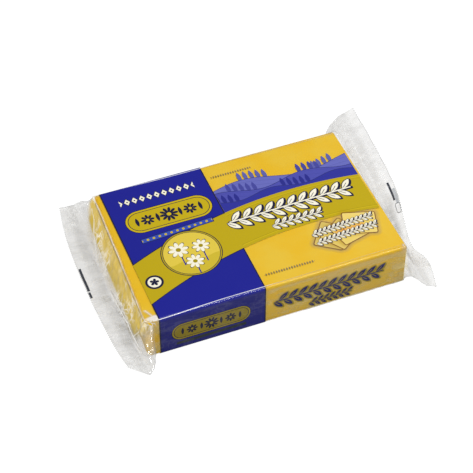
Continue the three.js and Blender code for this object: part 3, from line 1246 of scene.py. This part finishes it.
def floor_material():
    """A studio floor: near white to the camera, and a mid grey in the light that it throws back."""
    material, tree, shader = principled("studio floor", 0.9, 0.1)
    place = tree.nodes.new("ShaderNodeTexCoord").outputs["Object"]
    grain = noise_field(tree, place, 12.0, 2.0)
    colour = mixed_colour(grain, (0.15, 0.15, 0.15), (0.17, 0.17, 0.17))
    tree.links.new(colour, shader.inputs["Base Color"])
    shader.inputs["Emission Color"].default_value = (1, 1, 1, 1)
    shader.inputs["Emission Strength"].default_value = FLOOR_GLOW
    thrown = tree.nodes.new("ShaderNodeBsdfDiffuse")
    thrown.inputs["Color"].default_value = FLOOR_THROWN
    seen = tree.nodes.new("ShaderNodeLightPath")
    blend = tree.nodes.new("ShaderNodeMixShader")
    tree.links.new(seen.outputs["Is Camera Ray"], blend.inputs["Fac"])
    tree.links.new(thrown.outputs["BSDF"], blend.inputs[1])
    tree.links.new(shader.outputs["BSDF"], blend.inputs[2])
    tree.links.new(blend.outputs["Shader"], tree.nodes["Material Output"].inputs["Surface"])
    return material


class CheesePackCheese(bpy.types.Operator):
    """Make the block of cheese inside the film."""

    bl_idname = "mesh.cheese_pack_cheese"
    bl_label = "Cheese"

    def execute(self, context):
        sizes = context.scene.cheese_pack_sizes
        size = Vector((sizes.block_length, sizes.block_width, sizes.block_height))
        size -= Vector((2, 2, 2)) * sizes.film_gap
        bm = bmesh.new()
        bmesh.ops.create_cube(bm, size=1)
        bmesh.ops.scale(bm, vec=size, verts=bm.verts)
        bmesh.ops.translate(bm, vec=(0, 0, sizes.block_height / 2), verts=bm.verts)
        upright = [e for e in bm.edges if abs(e.verts[0].co.z - e.verts[1].co.z) > MM]
        bmesh.ops.bevel(
            bm, geom=upright, offset=sizes.corner_radius, segments=UPRIGHT_SEGMENTS,
            profile=0.5, affect="EDGES", material=-1,
        )
        rims = [e for e in bm.edges if abs(e.verts[0].co.z - e.verts[1].co.z) < FLAT_ENOUGH]
        bmesh.ops.bevel(
            bm, geom=rims, offset=sizes.edge_radius, segments=RIM_SEGMENTS,
            profile=0.5, affect="EDGES", material=-1,
        )

        # Cuts for the skewed left end to bend at, then the skew, and the reach of the right end.
        half_width = sizes.block_width / 2
        for i in range(1, CHEESE_SLICES):
            place = (0, mix(-half_width, half_width, i / CHEESE_SLICES), 0)
            cut_parts = [*bm.verts, *bm.edges, *bm.faces]
            bmesh.ops.bisect_plane(bm, geom=cut_parts, plane_co=place, plane_no=(0, 1, 0))
        for place in SKEW_CUTS:
            at = (-sizes.block_length / 2 + place * MM, 0, 0)
            cut_parts = [*bm.verts, *bm.edges, *bm.faces]
            bmesh.ops.bisect_plane(bm, geom=cut_parts, plane_co=at, plane_no=(1, 0, 0))
        for vert in bm.verts:
            before = (vert.co.x + sizes.block_length / 2) / MM
            skewed = clamp01(1 - (before - SKEW_CUTS[0]) / SKEW_LEAD) ** 2
            vert.co.x -= skewed * skew_at(vert.co.y / MM, half_width / MM) * MM
            if vert.co.x > sizes.block_length / 2 - 2 * sizes.edge_radius:
                vert.co.x += CHEESE_REACH * MM
        bmesh.ops.recalc_face_normals(bm, faces=bm.faces)
        piece = new_object("cheese", bm, cheese_material(context.scene.cheese_pack_colours))
        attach(piece, "root")
        return {"FINISHED"}


class CheesePackFilm(bpy.types.Operator):
    """Make the printed film with its gussets and sealed fins."""

    bl_idname = "mesh.cheese_pack_film"
    bl_label = "Film"

    def execute(self, context):
        scene = context.scene
        bm = film_mesh(scene.cheese_pack_sizes)
        piece = new_object("film", bm, film_material(scene.cheese_pack_colours))
        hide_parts("sealed_pack")
        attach(piece, "root")
        return {"FINISHED"}


# The camera's place and its view's axes, fitted to the photograph: lens and sensor in
# millimetres, angles in degrees, distances in metres.
CAMERA_AZIMUTH = -21.52
CAMERA_ELEVATION = 46.04
CAMERA_DISTANCE = 0.9402
CAMERA_RIGHT = -0.00627
CAMERA_UP = 0.01068
CAMERA_LENS = 126.49
CAMERA_SENSOR = 36.0
# Each area light's name, place, target, size and power, in metres and watts.
LIGHTS = (
    ("key", (0.5, 0.1, 1.0), (0, 0, 0), (0.9, 0.9), 6.3),
    ("strip", (0.42, -0.65, 1.08), (0, 0, 0), (0.9, 0.05), 7.5),
    ("left", (-1.1, -0.15, 0.1), (0, 0, 0.01), (0.7, 0.17), 10.5),
)
WORLD_STRENGTH = 0.32
# Half the floor's side, and how far it lies under the pack, in metres.
FLOOR_HALF = 3.0
FLOOR_DROP = 0.0002


def camera_matrix():
    """The camera's place and turn, from the fitted angles."""
    azimuth = math.radians(CAMERA_AZIMUTH)
    elevation = math.radians(CAMERA_ELEVATION)
    back = Vector((
        math.sin(azimuth) * math.cos(elevation),
        -math.cos(azimuth) * math.cos(elevation),
        math.sin(elevation),
    ))
    right = Vector((math.cos(azimuth), math.sin(azimuth), 0))
    up = back.cross(right)
    place = back * CAMERA_DISTANCE + right * CAMERA_RIGHT + up * CAMERA_UP
    turn = Matrix((right, up, back)).transposed().to_4x4()
    return Matrix.Translation(place) @ turn


def area_light(name, place, target, size, power):
    """A white oblong area light at a place, turned to a target."""
    lamp = bpy.data.lights.new(name, "AREA")
    lamp.shape = "RECTANGLE"
    lamp.size, lamp.size_y = size
    lamp.energy = power
    light = bpy.data.objects.new(name, lamp)
    light.location = place
    light.rotation_euler = (Vector(target) - Vector(place)).to_track_quat("-Z", "Y").to_euler()
    bpy.context.scene.collection.objects.link(light)


class CheesePackStage(bpy.types.Operator):
    """Make the floor, the lights and the camera."""

    bl_idname = "mesh.cheese_pack_stage"
    bl_label = "Stage"

    def execute(self, context):
        bm = bmesh.new()
        bmesh.ops.create_grid(bm, x_segments=4, y_segments=4, size=FLOOR_HALF)
        bmesh.ops.translate(bm, vec=(0, 0, -FLOOR_DROP), verts=bm.verts)
        new_object("floor", bm, floor_material())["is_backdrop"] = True
        world = bpy.data.worlds.new("studio")
        world.use_nodes = True
        background = world.node_tree.nodes["Background"]
        background.inputs["Color"].default_value = (1, 1, 1, 1)
        background.inputs["Strength"].default_value = WORLD_STRENGTH
        context.scene.world = world
        for light in LIGHTS:
            area_light(*light)
        camera = bpy.data.objects.new("camera", bpy.data.cameras.new("camera"))
        camera.data.lens = CAMERA_LENS
        camera.data.sensor_width = CAMERA_SENSOR
        camera.matrix_world = camera_matrix()
        context.scene.collection.objects.link(camera)
        context.scene.camera = camera
        context.scene.view_settings.view_transform = "Standard"
        return {"FINISHED"}


class CheesePackPanel(bpy.types.Panel):
    """Lists the pieces of the pack, their sizes and their colours."""

    bl_idname = "VIEW3D_PT_cheese_pack"
    bl_label = "Cheese pack"
    bl_space_type = "VIEW_3D"
    bl_region_type = "UI"
    bl_category = "Cheese pack"

    def draw(self, context):
        for group in (context.scene.cheese_pack_sizes, context.scene.cheese_pack_colours):
            for name in group.__annotations__:
                self.layout.prop(group, name)
        for operator in OPERATORS:
            self.layout.operator(operator.bl_idname)


OPERATORS = (CheesePackCheese, CheesePackFilm, CheesePackStage)
CLASSES = (CheesePackSizes, CheesePackColours, *OPERATORS, CheesePackPanel)


def register():
    """Adds the classes and the scene's settings."""
    for cls in CLASSES:
        bpy.utils.register_class(cls)
    bpy.types.Scene.cheese_pack_sizes = bpy.props.PointerProperty(type=CheesePackSizes)
    bpy.types.Scene.cheese_pack_colours = bpy.props.PointerProperty(type=CheesePackColours)


def unregister():
    """Takes them out again."""
    del bpy.types.Scene.cheese_pack_colours
    del bpy.types.Scene.cheese_pack_sizes
    for cls in reversed(CLASSES):
        bpy.utils.unregister_class(cls)


def main():
    """Builds the pack and the stage, and works out the two boxes."""
    register()
    bpy.ops.mesh.cheese_pack_cheese()
    bpy.ops.mesh.cheese_pack_film()
    bpy.ops.mesh.cheese_pack_stage()
    boxes = {"cad": CAD_BOX, "visual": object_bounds()}
    plain = {name: [[float(v) for v in corner] for corner in box] for name, box in boxes.items()}


if __name__ == "__main__":
    main()
